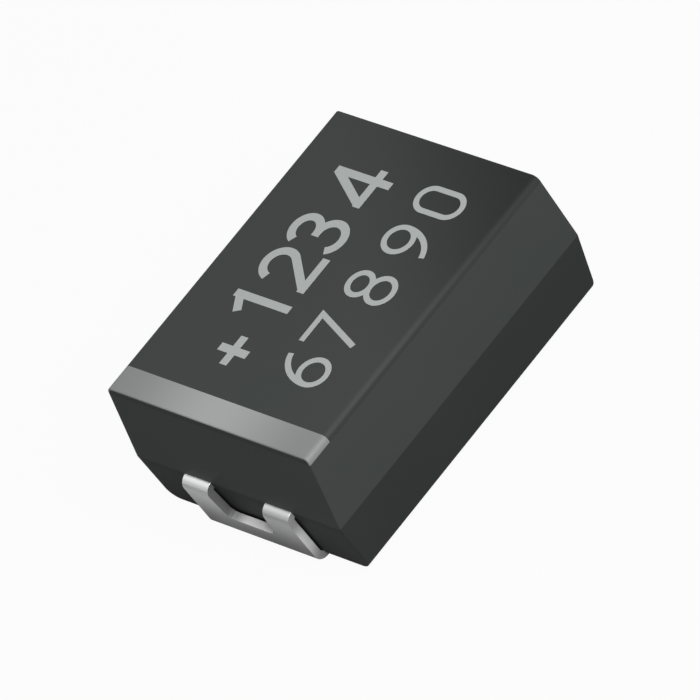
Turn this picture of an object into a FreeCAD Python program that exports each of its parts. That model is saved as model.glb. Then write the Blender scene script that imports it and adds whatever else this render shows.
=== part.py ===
import FreeCAD, Part
import math
import os
import re

import Sketcher

# Moulded tantalum chip capacitor
#
# +X runs the way the marking reads, from the anode end to the cathode end. +Z is up.
# The origin is on the board, under the middle of the case: the soles of both feet lie at z = 0.
# Millimetres, degrees.

SIZES = {
    # Moulded case, measured at its parting line
    "case_length": 6.65,
    "case_width": 4.6,
    "upper_height": 1.6,
    "lower_height": 1.21,
    "standoff": 0.11,
    "upper_end_draft": 5.0,
    "lower_end_draft": 8.0,
    "side_draft": 1.0,
    "top_edge_radius": 0.12,
    "bottom_edge_radius": 0.24,
    # Polarity band, marked into the top at the anode end
    "band_width": 0.52,
    "band_side_drop": 0.14,
    "mark_depth": 0.015,
    # Sheet metal of both terminals
    "sheet_thickness": 0.15,
    "terminal_width": 2.4,
    "leg_gap": 0.025,
    "upper_bend_radius": 0.1,
    "lower_bend_radius": 0.17,
    "inner_bend_radius": 0.14,
    "foot_length": 1.3,
    "foot_gap": 0.02,
    # U-shaped cut-out between the anode terminal's legs
    "slot_width": 1.24,
    "slot_floor_width": 1.06,
    "slot_floor_height": 0.56,
    "slot_corner_radius": 0.16,
    "slot_run_in": 0.3,
    # Inner plate, and the tab that the anode wire is welded to
    "plate_depth": 0.75,
    "weld_tab_width": 1.1,
    "weld_tab_length": 0.55,
    "weld_length": 0.42,
    # Walls of the case beside and behind what it holds
    "side_wall": 0.55,
    "end_wall": 0.68,
    # Sintered anode block and its wire
    "pellet_thickness": 1.5,
    "pellet_edge_radius": 0.1,
    "pellet_to_tab_gap": 0.3,
    "wire_diameter": 0.3,
    "wire_embedded_length": 2.2,
    "wire_flat_depth": 0.04,
    "washer_diameter": 0.85,
    "washer_thickness": 0.12,
    # Layers over the anode block
    "manganese_thickness": 0.04,
    "carbon_thickness": 0.02,
    "silver_thickness": 0.04,
    "carbon_setback": 0.25,
    "silver_setback": 0.45,
    # Glued joint to the cathode terminal
    "adhesive_thickness": 0.05,
    "adhesive_inset": 0.85,
    "adhesive_edge_margin": 0.15,
    "adhesive_corner_radius": 0.25,
    "paddle_overrun": 0.2,
    "riser_gap": 0.12,
}

# Places that follow from the sizes, along Z
BOTTOM = "standoff"
PARTING = "(standoff + lower_height)"
TOP = "(standoff + lower_height + upper_height)"
SHEET_MIDDLE = f"({PARTING} - sheet_thickness / 2)"
SHEET_UNDERSIDE = f"({PARTING} - sheet_thickness)"
TAB_FACE = PARTING
WIRE_AXIS = f"({TAB_FACE} + wire_diameter / 2 - wire_flat_depth)"
COAT_DEPTH = "(manganese_thickness + carbon_thickness + silver_thickness)"
SILVER_SOLE = f"({WIRE_AXIS} - pellet_thickness / 2 - {COAT_DEPTH})"
PADDLE_FACE = f"({SILVER_SOLE} - adhesive_thickness)"
PADDLE_MIDDLE = f"({PADDLE_FACE} - sheet_thickness / 2)"

# Places that follow from the sizes, out from the middle along X or Y
TOP_HALF_LENGTH = "(case_length / 2 - upper_height * tan(upper_end_draft * 1deg))"
BOTTOM_HALF_LENGTH = "(case_length / 2 - lower_height * tan(lower_end_draft * 1deg))"
TOP_HALF_WIDTH = "(case_width / 2 - upper_height * tan(side_draft * 1deg))"
BOTTOM_HALF_WIDTH = "(case_width / 2 - lower_height * tan(side_draft * 1deg))"
LEG_TOP = "(case_length / 2 + leg_gap + sheet_thickness / 2)"
LEG_FOOT = f"({LEG_TOP} - {SHEET_UNDERSIDE} * tan(lower_end_draft * 1deg))"
FOOT_END = f"({LEG_FOOT} + sheet_thickness / 2 - foot_length)"

# Places that follow from the sizes, along X inside the case
TAB_ROOT = "(plate_depth - case_length / 2)"
TAB_END = f"({TAB_ROOT} + weld_tab_length)"
PELLET_FRONT = f"({TAB_END} + pellet_to_tab_gap)"
RISER = "(case_length / 2 - end_wall - sheet_thickness / 2)"
PELLET_BACK = f"({RISER} - sheet_thickness / 2 - riser_gap - {COAT_DEPTH})"
PELLET_HALF_WIDTH = f"(case_width / 2 - side_wall - {COAT_DEPTH})"
ADHESIVE_START = f"({PELLET_FRONT} + silver_setback + adhesive_inset)"
ADHESIVE_END = f"({PELLET_BACK} - pellet_edge_radius)"
ADHESIVE_HALF_WIDTH = "(terminal_width / 2 - adhesive_edge_margin)"
PADDLE_START = f"({ADHESIVE_START} - paddle_overrun)"

# How far a cut runs past the surface that it opens
CLEAR = 1.0

# Two places nearer than this are the same
SAME_PLACE = 1e-6


doc = FreeCAD.newDocument("tantalum_capacitor")
sheet = doc.addObject("Spreadsheet::Sheet", "Sheet")
for row, (alias, value) in enumerate(SIZES.items(), start=1):
    sheet.set(f"A{row}", alias)
    sheet.set(f"B{row}", str(value))
    sheet.setAlias(f"B{row}", alias)
doc.recompute()


def from_sheet(text):
    """Return the expression with each size read from the spreadsheet."""
    return re.sub(r"[a-z_]+", lambda word: ("Sheet." if word[0] in SIZES else "") + word[0], text)


def number(text):
    """Work an expression out, as a plain number."""
    return float(sheet.evalExpression(from_sheet(text)))


def bind(item, target, text):
    """Tie one property or datum of an object to an expression of the sizes."""
    item.setExpression(target, from_sheet(text))


def origin_plane(body, role):
    """Find one of the body's own origin planes."""
    return next(plane for plane in body.Origin.OriginFeatures if plane.Role == role)


def new_body(label):
    """Add an empty body; its label names the piece."""
    body = doc.addObject("PartDesign::Body", label)
    body.Label = label
    return body


def new_sketch(body, role, offset=None):
    """Attach a sketch to an origin plane, moved along the plane's normal by the offset."""
    sketch = body.newObject("Sketcher::SketchObject", f"{body.Name}_sketch")
    sketch.AttachmentSupport = [(origin_plane(body, role), "")]
    sketch.MapMode = "FlatFace"
    if offset is not None:
        bind(sketch, "AttachmentOffset.Base.z", offset)
    return sketch


def place_point(sketch, geometry, vertex, across, up):
    """Dimension one vertex from the sketch's origin."""
    for kind, text in (("DistanceX", across), ("DistanceY", up)):
        constraint = sketch.addConstraint(
            Sketcher.Constraint(kind, -1, 1, geometry, vertex, number(text)))
        bind(sketch, f"Constraints[{constraint}]", text)


def draw(sketch, corners, closed=True):
    """Draw straight lines from corner to corner; a corner with a radius is rounded.

    Each corner is (across, up) or (across, up, radius), as expressions. The lines aim at the
    corners, and each round corner is an arc tangent to both of its lines.
    """
    points = [FreeCAD.Vector(number(corner[0]), number(corner[1]), 0) for corner in corners]
    radii = [number(corner[2]) if len(corner) > 2 else 0.0 for corner in corners]
    count = len(corners)
    spans = count if closed else count - 1
    along = [(points[(i + 1) % count] - points[i]).normalize() for i in range(spans)]
    trims = [0.0] * count
    for i in range(count):
        if radii[i]:
            turn = along[i - 1].getAngle(along[i])
            trims[i] = radii[i] * math.tan(turn / 2)
    lines = []
    for i in range(spans):
        start = points[i] + along[i] * trims[i]
        end = points[(i + 1) % count] - along[i] * trims[(i + 1) % count]
        lines.append(sketch.addGeometry(Part.LineSegment(start, end), False))
    for i, corner in enumerate(corners):
        before = lines[i - 1] if closed or i > 0 else None
        after = lines[i] if closed or i < count - 1 else None
        if radii[i]:
            round_corner(sketch, points[i], along[i - 1], along[i], radii[i], trims[i],
                         (before, after), corner)
        elif after is None:
            place_point(sketch, before, 2, corner[0], corner[1])
        else:
            if before is not None:
                sketch.addConstraint(Sketcher.Constraint("Coincident", before, 2, after, 1))
            place_point(sketch, after, 1, corner[0], corner[1])


def round_corner(sketch, point, arriving, leaving, radius, trim, sides, corner):
    """Add the arc of one corner, and the point that its two lines aim at."""
    before, after = sides
    turns_left = arriving.cross(leaving).z > 0
    inward = FreeCAD.Vector(-arriving.y, arriving.x, 0) * (1 if turns_left else -1)
    first = point - arriving * trim
    last = point + leaving * trim
    centre = first + inward * radius
    if not turns_left:
        first, last = last, first
    first_angle = math.atan2(first.y - centre.y, first.x - centre.x)
    last_angle = math.atan2(last.y - centre.y, last.x - centre.x)
    circle = Part.Circle(centre, FreeCAD.Vector(0, 0, 1), radius)
    arc = sketch.addGeometry(Part.ArcOfCircle(circle, first_angle, last_angle), False)
    arriving_end, leaving_end = (1, 2) if turns_left else (2, 1)
    sketch.addConstraint(Sketcher.Constraint("Tangent", before, 2, arc, arriving_end))
    sketch.addConstraint(Sketcher.Constraint("Tangent", after, 1, arc, leaving_end))
    size = sketch.addConstraint(Sketcher.Constraint("Radius", arc, radius))
    bind(sketch, f"Constraints[{size}]", corner[2])
    aim = sketch.addGeometry(Part.Point(point), True)
    sketch.addConstraint(Sketcher.Constraint("PointOnObject", aim, 1, before))
    sketch.addConstraint(Sketcher.Constraint("PointOnObject", aim, 1, after))
    place_point(sketch, aim, 1, corner[0], corner[1])


def draw_rectangle(sketch, left, low, right, high, radius=None):
    """Draw a rectangle from its four sides, with round corners where a radius is given."""
    extra = () if radius is None else (radius,)
    corners = ((left, low), (right, low), (right, high), (left, high))
    draw(sketch, [corner + extra for corner in corners])


def draw_circle(sketch, up, radius):
    """Draw a circle with its centre on the sketch's upright axis."""
    centre = FreeCAD.Vector(0, number(up), 0)
    circle = sketch.addGeometry(Part.Circle(centre, FreeCAD.Vector(0, 0, 1), number(radius)), False)
    size = sketch.addConstraint(Sketcher.Constraint("Radius", circle, number(radius)))
    bind(sketch, f"Constraints[{size}]", radius)
    sketch.addConstraint(Sketcher.Constraint("PointOnObject", circle, 3, -2))
    height = sketch.addConstraint(
        Sketcher.Constraint("DistanceY", -1, 1, circle, 3, number(up)))
    bind(sketch, f"Constraints[{height}]", up)


def pad(body, sketch, length, side="One side", backward=False):
    """Raise the sketch into a solid of the given length."""
    feature = body.newObject("PartDesign::Pad", f"{body.Name}_pad")
    feature.Profile = sketch
    feature.SideType = side
    feature.Reversed = backward
    bind(feature, "Length", length)
    doc.recompute()
    return feature


def pocket(body, sketch, length, side="One side", backward=False):
    """Cut the sketch into the body, and make sure that something was cut."""
    before = body.Shape.Volume
    feature = body.newObject("PartDesign::Pocket", f"{body.Name}_pocket")
    feature.Profile = sketch
    feature.SideType = side
    feature.Reversed = backward
    bind(feature, "Length", length)
    doc.recompute()
    if not feature.Shape.Volume < before:
        raise RuntimeError(f"{feature.Label} cuts nothing")
    return feature


def joined(label, pieces):
    """Fuse several pieces into one tool for a cut."""
    tool = doc.addObject("Part::MultiFuse", label)
    tool.Shapes = pieces
    return tool


def combined(kind, label, base, tool):
    """Make a piece from a base and a tool with one boolean of the given kind."""
    piece = doc.addObject(kind, label)
    piece.Label = label
    piece.Base = base
    piece.Tool = tool
    return piece


def cut(label, base, tool):
    """Take the tool away from the base; the rest is the piece."""
    return combined("Part::Cut", label, base, tool)


def shared(label, base, tool):
    """Keep what lies in both the base and the tool; that is the piece."""
    return combined("Part::Common", label, base, tool)


def rounded_block(label, front, back, half_width, low, high, radius):
    """Make a block with rounded edges, apart from the four sharp edges of its front."""
    body = new_body(label)
    sketch = new_sketch(body, "YZ_Plane", front)
    draw_rectangle(sketch, f"-{half_width}", low, half_width, high)
    block = pad(body, sketch, f"{back} - {front}")
    nearest = number(front)
    names = []
    for index, edge in enumerate(block.Shape.Edges, start=1):
        at_front = all(abs(vertex.X - nearest) < SAME_PLACE for vertex in edge.Vertexes)
        if not at_front:
            names.append(f"Edge{index}")
    rounding = body.newObject("PartDesign::Fillet", f"{label}_rounding")
    rounding.Base = (block, names)
    bind(rounding, "Radius", radius)
    doc.recompute()
    return body


def folded_strip(label, path):
    """Sweep the sheet's flat section along the middle line of its folds."""
    body = new_body(label)
    spine = new_sketch(body, "XZ_Plane")
    draw(spine, path, closed=False)
    section = new_sketch(body, "YZ_Plane", path[0][0])
    half_width = "terminal_width / 2"
    start = path[0][1]
    draw_rectangle(section, f"-{half_width}", f"{start} - sheet_thickness / 2",
                   half_width, f"{start} + sheet_thickness / 2")
    doc.recompute()
    strip = body.newObject("PartDesign::AdditivePipe", f"{label}_fold")
    strip.Profile = section
    strip.Spine = (spine, [])
    doc.recompute()
    return body


def make_anode_terminal():
    """Folded terminal with two legs, and inside the case a plate with the weld tab."""
    body = folded_strip("anode_terminal", (
        (TAB_END, SHEET_MIDDLE),
        (f"-{LEG_TOP}", SHEET_MIDDLE, "upper_bend_radius"),
        (f"-{LEG_FOOT}", "sheet_thickness / 2", "lower_bend_radius"),
        (f"-{FOOT_END}", "sheet_thickness / 2"),
    ))
    slot = new_sketch(body, "YZ_Plane", "slot_run_in - case_length / 2")
    draw(slot, (
        ("slot_width / 2", f"{PARTING} + {CLEAR}"),
        ("-slot_width / 2", f"{PARTING} + {CLEAR}"),
        ("-slot_width / 2", SHEET_UNDERSIDE),
        ("-slot_floor_width / 2", "slot_floor_height", "slot_corner_radius"),
        ("slot_floor_width / 2", "slot_floor_height", "slot_corner_radius"),
        ("slot_width / 2", SHEET_UNDERSIDE),
    ))
    pocket(body, slot, f"slot_run_in + {CLEAR}")
    sides = new_sketch(body, "XY_Plane", SHEET_MIDDLE)
    for side in ("", "-"):
        draw_rectangle(sides, TAB_ROOT, f"{side}weld_tab_width / 2",
                       f"{TAB_END} + {CLEAR}", f"{side}(terminal_width / 2 + {CLEAR})")
    pocket(body, sides, "2 * sheet_thickness", side="Symmetric")
    return body


def make_cathode_terminal():
    """Folded terminal with a plain leg, stepped down inside the case to the pellet's seat."""
    return folded_strip("cathode_terminal", (
        (PADDLE_START, PADDLE_MIDDLE),
        (RISER, PADDLE_MIDDLE, "inner_bend_radius"),
        (RISER, SHEET_MIDDLE, "inner_bend_radius"),
        (LEG_TOP, SHEET_MIDDLE, "upper_bend_radius"),
        (LEG_FOOT, "sheet_thickness / 2", "lower_bend_radius"),
        (FOOT_END, "sheet_thickness / 2"),
    ))


def make_wire():
    """Round wire from inside the pellet to the weld tab, pressed flat where it is welded."""
    body = new_body("anode_wire")
    section = new_sketch(body, "YZ_Plane", f"{TAB_END} - weld_length")
    draw_circle(section, WIRE_AXIS, "wire_diameter / 2")
    pad(body, section, "weld_length + pellet_to_tab_gap + wire_embedded_length")
    flat = new_sketch(body, "XZ_Plane")
    draw_rectangle(flat, f"{TAB_END} - weld_length - {CLEAR}", f"{TAB_FACE} - {CLEAR}",
                   TAB_END, TAB_FACE)
    pocket(body, flat, "2 * wire_diameter", side="Symmetric")
    return body


def make_washer_blank():
    """Disc on the wire's axis, against the front of the pellet."""
    body = new_body("washer_blank")
    section = new_sketch(body, "YZ_Plane", PELLET_FRONT)
    draw_circle(section, WIRE_AXIS, "washer_diameter / 2")
    pad(body, section, "washer_thickness", backward=True)
    return body


def coated_block(label, depth, setback=None):
    """Pellet's outline grown by the layers up to this one, from the setback to the back."""
    front = f"({PELLET_FRONT} - ({depth}))" if setback is None else f"({PELLET_FRONT} + {setback})"
    return rounded_block(
        label, front, f"({PELLET_BACK} + {depth})", f"({PELLET_HALF_WIDTH} + {depth})",
        f"({WIRE_AXIS} - pellet_thickness / 2 - ({depth}))",
        f"({WIRE_AXIS} + pellet_thickness / 2 + {depth})",
        f"pellet_edge_radius + {depth}")


def make_adhesive():
    """Pad of conductive adhesive between the silver layer and the cathode terminal."""
    body = new_body("silver_adhesive")
    section = new_sketch(body, "XY_Plane", PADDLE_FACE)
    draw_rectangle(section, ADHESIVE_START, f"-{ADHESIVE_HALF_WIDTH}",
                   ADHESIVE_END, ADHESIVE_HALF_WIDTH, "adhesive_corner_radius")
    pad(body, section, "adhesive_thickness")
    return body


def make_case_form():
    """Outside of the moulded case, with the shallow seats of the two feet."""
    body = new_body("case_form")
    section = new_sketch(body, "YZ_Plane")
    draw(section, (
        ("case_width / 2", PARTING),
        (TOP_HALF_WIDTH, TOP, "top_edge_radius"),
        (f"-{TOP_HALF_WIDTH}", TOP, "top_edge_radius"),
        ("-case_width / 2", PARTING),
        (f"-{BOTTOM_HALF_WIDTH}", BOTTOM, "bottom_edge_radius"),
        (BOTTOM_HALF_WIDTH, BOTTOM, "bottom_edge_radius"),
    ))
    pad(body, section, "case_length", side="Symmetric")
    ends = new_sketch(body, "XZ_Plane")
    draw_rectangle(ends, f"-(case_length / 2 + {CLEAR})", f"-{CLEAR}",
                   f"case_length / 2 + {CLEAR}", f"{TOP} + {CLEAR}")
    draw(ends, (
        ("case_length / 2", PARTING),
        (TOP_HALF_LENGTH, TOP),
        (f"-{TOP_HALF_LENGTH}", TOP),
        ("-case_length / 2", PARTING),
        (f"-{BOTTOM_HALF_LENGTH}", BOTTOM),
        (BOTTOM_HALF_LENGTH, BOTTOM),
    ))
    pocket(body, ends, f"case_width + {CLEAR}", side="Symmetric")
    seats = new_sketch(body, "XY_Plane")
    for side in ("-", ""):
        draw_rectangle(seats, f"{side}({FOOT_END} - foot_gap)", "-(terminal_width / 2 + foot_gap)",
                       f"{side}(case_length / 2 + {CLEAR})", "terminal_width / 2 + foot_gap")
    pocket(body, seats, "sheet_thickness + foot_gap", backward=True)
    return body


def make_band_sleeve():
    """Sleeve over the anode end of the top: the layer of the case that it holds is the band."""
    body = new_body("band_sleeve")
    side = f"({TOP_HALF_WIDTH} + band_side_drop * tan(side_draft * 1deg) - mark_depth)"
    corner = f"({TOP_HALF_WIDTH} - mark_depth)"
    marked_top = f"{TOP} - mark_depth"
    marked_radius = "top_edge_radius - mark_depth"
    low = f"{TOP} - band_side_drop"
    outside = f"(case_width / 2 + {CLEAR})"
    section = new_sketch(body, "YZ_Plane", f"band_width - {TOP_HALF_LENGTH}")
    draw(section, (
        (outside, low),
        (outside, f"{TOP} + {CLEAR}"),
        (f"-{outside}", f"{TOP} + {CLEAR}"),
        (f"-{outside}", low),
        (f"-{side}", low),
        (f"-{corner}", marked_top, marked_radius),
        (corner, marked_top, marked_radius),
        (side, low),
    ))
    pad(body, section, f"band_width + {CLEAR}", backward=True)
    return body


def make_anode_block(wire):
    """Sintered pellet with the wire's bore, the ring on the wire, and the three layers."""
    washer_blank = make_washer_blank()
    washer = cut("wire_washer", washer_blank, wire)
    pellet_block = coated_block("pellet_block", "0")
    pellet = cut("anode_pellet", pellet_block, wire)
    manganese = "manganese_thickness"
    carbon = f"({manganese} + carbon_thickness)"
    manganese_block = coated_block("manganese_block", manganese)
    carbon_block = coated_block("carbon_block", carbon, "carbon_setback")
    silver_block = coated_block("silver_block", COAT_DEPTH, "silver_setback")
    core = joined("pellet_and_washer", [pellet_block, washer_blank])
    return [
        washer,
        pellet,
        cut("manganese_coat", manganese_block, core),
        cut("carbon_coat", carbon_block, manganese_block),
        cut("silver_coat", silver_block, carbon_block),
    ]


def write_pieces(pieces):
    """Check every object of the document, then write one file for each piece."""
    doc.recompute()
    failed = [item.Label for item in doc.Objects if {"Invalid", "Error"} & set(item.State)]
    if failed:
        raise RuntimeError(f"failed objects: {failed}")
    for piece in pieces:
        if piece.Shape.isNull() or not piece.Shape.isValid() or len(piece.Shape.Solids) != 1:
            raise RuntimeError(f"{piece.Label} is not one valid solid")
    os.makedirs("parts", exist_ok=True)
    for piece in pieces:
        piece.Shape.exportStep(f"parts/{piece.Label}.step")
        print(f"{piece.Label}: {piece.Shape.Volume:.4f} cubic mm, {len(piece.Shape.Faces)} faces")


anode_terminal = make_anode_terminal()
cathode_terminal = make_cathode_terminal()
anode_wire = make_wire()
adhesive = make_adhesive()
anode_block = make_anode_block(anode_wire)
inside = [anode_terminal, cathode_terminal, anode_wire, adhesive] + anode_block
case_form = make_case_form()
band_sleeve = make_band_sleeve()
polarity_band = shared("polarity_band", case_form, band_sleeve)
case = cut("case", case_form, joined("inside_and_band", inside + [band_sleeve]))
write_pieces([case, polarity_band] + inside)
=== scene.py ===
"""Moulded tantalum chip capacitor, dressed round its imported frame."""
import math

import bmesh
import bpy
import numpy as np
from bpy.props import FloatProperty, FloatVectorProperty, PointerProperty
from mathutils import Matrix, Vector


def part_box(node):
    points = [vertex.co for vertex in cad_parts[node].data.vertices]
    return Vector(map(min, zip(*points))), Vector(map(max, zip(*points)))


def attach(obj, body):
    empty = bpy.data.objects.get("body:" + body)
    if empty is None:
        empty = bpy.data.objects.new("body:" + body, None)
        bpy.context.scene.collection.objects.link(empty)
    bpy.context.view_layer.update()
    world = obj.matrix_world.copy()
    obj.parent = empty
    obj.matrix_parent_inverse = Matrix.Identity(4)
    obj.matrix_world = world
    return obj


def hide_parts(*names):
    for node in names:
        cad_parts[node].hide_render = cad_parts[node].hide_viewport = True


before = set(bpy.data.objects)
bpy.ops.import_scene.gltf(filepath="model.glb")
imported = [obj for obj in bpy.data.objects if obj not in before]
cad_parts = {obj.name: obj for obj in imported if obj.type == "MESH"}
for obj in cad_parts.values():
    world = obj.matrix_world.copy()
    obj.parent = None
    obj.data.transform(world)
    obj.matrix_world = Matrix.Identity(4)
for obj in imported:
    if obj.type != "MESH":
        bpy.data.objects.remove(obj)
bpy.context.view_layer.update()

bl_info = {
    "name": "Tantalum capacitor",
    "version": (1, 0, 0),
    "blender": (4, 5, 0),
    "location": "3D View > Sidebar > Capacitor",
    "description": "Moulded tantalum chip capacitor with its band, marking and folded terminals",
    "category": "Mesh",
}

MM = 0.001

CASE_LOW, CASE_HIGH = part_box("case")
BAND_LOW, BAND_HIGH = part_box("polarity_band")
ANODE_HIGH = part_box("anode_terminal")[1]


# Settings

def length(name, description, default):
    """A length that a user can set, in metres."""
    return FloatProperty(name=name, description=description, default=default, min=0.0,
                         precision=6, unit="LENGTH")


def angle(name, description, degrees):
    """An angle that a user can set."""
    return FloatProperty(name=name, description=description, default=math.radians(degrees),
                         unit="ROTATION", subtype="ANGLE")


def colour(name, description, default):
    """A linear colour that a user can set."""
    return FloatVectorProperty(name=name, description=description, default=default, size=3,
                               min=0.0, max=1.0, subtype="COLOR")


def share(name, description, default):
    """A number from nought to one that a user can set."""
    return FloatProperty(name=name, description=description, default=default, min=0.0, max=1.0,
                         subtype="FACTOR")


def amount(name, description, default):
    """A plain number that a user can set."""
    return FloatProperty(name=name, description=description, default=default, min=0.0)


class CaseSettings(bpy.types.PropertyGroup):
    """Form and finish of the moulded case."""

    parting_height: length("Parting height", "Height of the parting line", 1.32 * MM)
    upper_end_draft: angle("Upper end draft", "Slope of the ends above the parting line", 5.0)
    lower_end_draft: angle("Lower end draft", "Slope of the ends below the parting line", 8.0)
    side_draft: angle("Side draft", "Slope of the sides, above and below", 1.0)
    top_radius: length("Top radius", "Rounding of the long top edges", 0.12 * MM)
    bottom_radius: length("Bottom radius", "Rounding of the long bottom edges", 0.24 * MM)
    end_radius: length("End radius", "Slight rounding all round each end", 0.016 * MM)
    seat_height: length("Seat height", "Height of the seats for the feet", 0.17 * MM)
    seat_half_width: length("Seat half width", "Half the width of a seat", 1.22 * MM)
    seat_start: length("Seat start", "Distance of a seat from the middle", 2.0156 * MM)
    colour: colour("Colour", "Moulding compound", (0.056, 0.0595, 0.058))
    cool_colour: colour("Cool colour", "Tint of its cooler patches", (0.052, 0.0585, 0.056))
    # Painted shade: the lower half of the case is darkened to stand for shade on its downward
    # facets.
    lower_half_painted_shade: share("Lower shade", "Brightness of the lower half against the upper", 0.6)
    # Painted shade: the top darkens towards its far right corner.
    far_corner_painted_shade: share("Far shade", "Brightness of the top's far right corner", 0.42)
    roughness: share("Roughness", "Matt finish of the moulding", 0.5)


class BandSettings(bpy.types.PropertyGroup):
    """Layer that marks the anode end."""

    depth: length("Depth", "Depth of the marked layer", 0.015 * MM)
    edge_colour: colour("Edge colour", "Grey towards the sides", (0.235, 0.24, 0.24))
    # Painted sheen: the middle of the band is lighter.
    middle_painted_sheen: colour("Middle colour", "Grey in the middle", (0.375, 0.385, 0.38))


class MarkingSettings(bpy.types.PropertyGroup):
    """Plain numbers on the top."""

    large_height: length("Large height", "Height of the first row's digits", 1.22 * MM)
    large_stroke: length("Large stroke", "Line width of the first row", 0.165 * MM)
    small_height: length("Small height", "Height of the second row's digits", 1.04 * MM)
    small_stroke: length("Small stroke", "Line width of the second row", 0.115 * MM)
    relief: length("Relief", "How far the marking stands out", 0.003 * MM)
    colour: colour("Colour", "Marking", (0.46, 0.49, 0.48))


class TerminalSettings(bpy.types.PropertyGroup):
    """Folded sheet of both terminals."""

    sheet: length("Sheet", "Thickness of the sheet", 0.15 * MM)
    leg_gap: length("Leg gap", "Gap between the case and a leg", 0.025 * MM)
    upper_bend: length("Upper bend", "Radius of the bend at the parting line", 0.1 * MM)
    lower_bend: length("Lower bend", "Radius of the bend at the foot", 0.17 * MM)
    inner_bend: length("Inner bend", "Radius of the bends inside the case", 0.14 * MM)
    foot_length: length("Foot length", "Length of the foot under the case", 1.3 * MM)
    slot_width: length("Slot width", "Width of the cut-out between the legs", 1.24 * MM)
    slot_floor: length("Slot floor", "Height of the cut-out's floor", 0.56 * MM)
    slot_floor_width: length("Slot floor width", "Width of the cut-out at its floor", 1.06 * MM)
    slot_radius: length("Slot radius", "Rounding of the cut-out's corners", 0.16 * MM)
    slot_run_in: length("Slot run-in", "How far the cut-out goes into the case", 0.3 * MM)
    plate_depth: length("Plate depth", "How far the plate goes into the case", 0.75 * MM)
    tab_width: length("Tab width", "Width of the weld tab", 1.1 * MM)
    edge_break: length("Edge break", "Rounding of the sheared edges", 0.012 * MM)
    colour: colour("Colour", "Tin plating", (0.84, 0.845, 0.85))
    # Painted shade on the bend below its crest.
    bend_painted_shade: colour("Bend colour", "Plating below the upper bend's crest", (0.58, 0.582, 0.584))
    # Painted highlight on the upper bend's crest.
    crest_painted_highlight: colour("Crest colour", "Plating on the upper bend's crest", (0.95, 0.953, 0.956))
    # Painted shade: the plating darkens towards the foot and at the left end of the cut-out's
    # floor.
    low_painted_shade: colour("Low colour", "Duller plating towards the foot", (0.31, 0.312, 0.314))
    # Painted shade on the right leg.
    right_leg_painted_shade: share("Side shade", "Brightness of the right leg against the left", 0.8)
    # Painted shade on the cut edges beside the cut-out.
    inner_edge_painted_shade: colour("Inner edge colour", "Cut edge beside the cut-out", (0.16,) * 3)
    edge_colour: colour("Edge colour", "Cut edge at a leg's top and at the foot", (0.36,) * 3)
    # Painted highlight on the cut edges half way down a leg.
    edge_painted_highlight: colour("Low edge colour", "Cut edge half way down", (0.80,) * 3)
    roughness: share("Roughness", "Satin finish of the plating", 0.36)


class StageSettings(bpy.types.PropertyGroup):
    """Floor, lamps and camera."""

    azimuth: angle("Azimuth", "Camera's angle round the part", -30.4082)
    elevation: angle("Elevation", "Camera's angle above the floor", 42.0208)
    roll: angle("Roll", "Camera's turn about its own line of sight", -29.4831)
    distance: length("Distance", "From the camera to the part", 164.5427 * MM)
    lens: FloatProperty(name="Lens", description="Focal length in millimetres",
                        default=517.2727, min=1.0)
    floor_size: length("Floor size", "Side of the floor", 600.0 * MM)
    floor_colour: colour("Floor colour", "Grey that the lamps fall on", (0.5,) * 3)
    floor_white: share("Floor white", "Share of plain white in the floor as it is seen", 0.95)
    mirrored_white: share("Mirrored white", "Share of plain white in the mirrored surround", 0.9)
    surround: amount("Surround", "Strength of the light from all round", 0.25)


# Surfaces

SAME_PLACE = 1e-8
ROUNDING = 10
SHARP_ANGLE = math.radians(35)


def make_piece(name, shape, material, body="root", replaced=None, sheared=None):
    """Make a mesh piece whose place is in its points, and put it on its body.

    A shape is its points and its faces. The attribute "sheared" is one on sheared faces.
    """
    points, faces = shape
    mesh = bpy.data.meshes.new(name)
    mesh.from_pydata(points, [], faces.tolist())
    if sheared is not None:
        marks = mesh.attributes.new("sheared", "FLOAT", "FACE")
        marks.data.foreach_set("value", sheared.astype(float))
    merged = bmesh.new()
    merged.from_mesh(mesh)
    bmesh.ops.remove_doubles(merged, verts=merged.verts, dist=SAME_PLACE)
    merged.to_mesh(mesh)
    merged.free()
    mesh.shade_smooth()
    mesh.set_sharp_from_angle(angle=SHARP_ANGLE)
    mesh.materials.append(material)
    piece = bpy.data.objects.new(name, mesh)
    bpy.context.scene.collection.objects.link(piece)
    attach(piece, body)
    if replaced:
        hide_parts(replaced)
    return piece


def keep_flats_flat(piece):
    """Weigh the shading by area, so that a flat stays flat beside its small roundings."""
    modifier = piece.modifiers.new("flats", "WEIGHTED_NORMAL")
    modifier.keep_sharp = True


def join(shapes):
    """Put several shapes into one."""
    starts = np.cumsum([0] + [len(points) for points, faces in shapes])
    return (np.concatenate([points for points, faces in shapes]),
            np.concatenate([faces + start for (points, faces), start in zip(shapes, starts)]))


def grid_faces(index):
    """Four-cornered faces of a grid; the face's normal is the columns' way times the rows' way."""
    return np.stack((index[:-1, :-1], index[:-1, 1:], index[1:, 1:], index[1:, :-1]),
                    axis=-1).reshape(-1, 4)


def numbered(shape):
    """Running numbers of a grid's points."""
    return np.arange(np.prod(shape)).reshape(shape)


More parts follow.
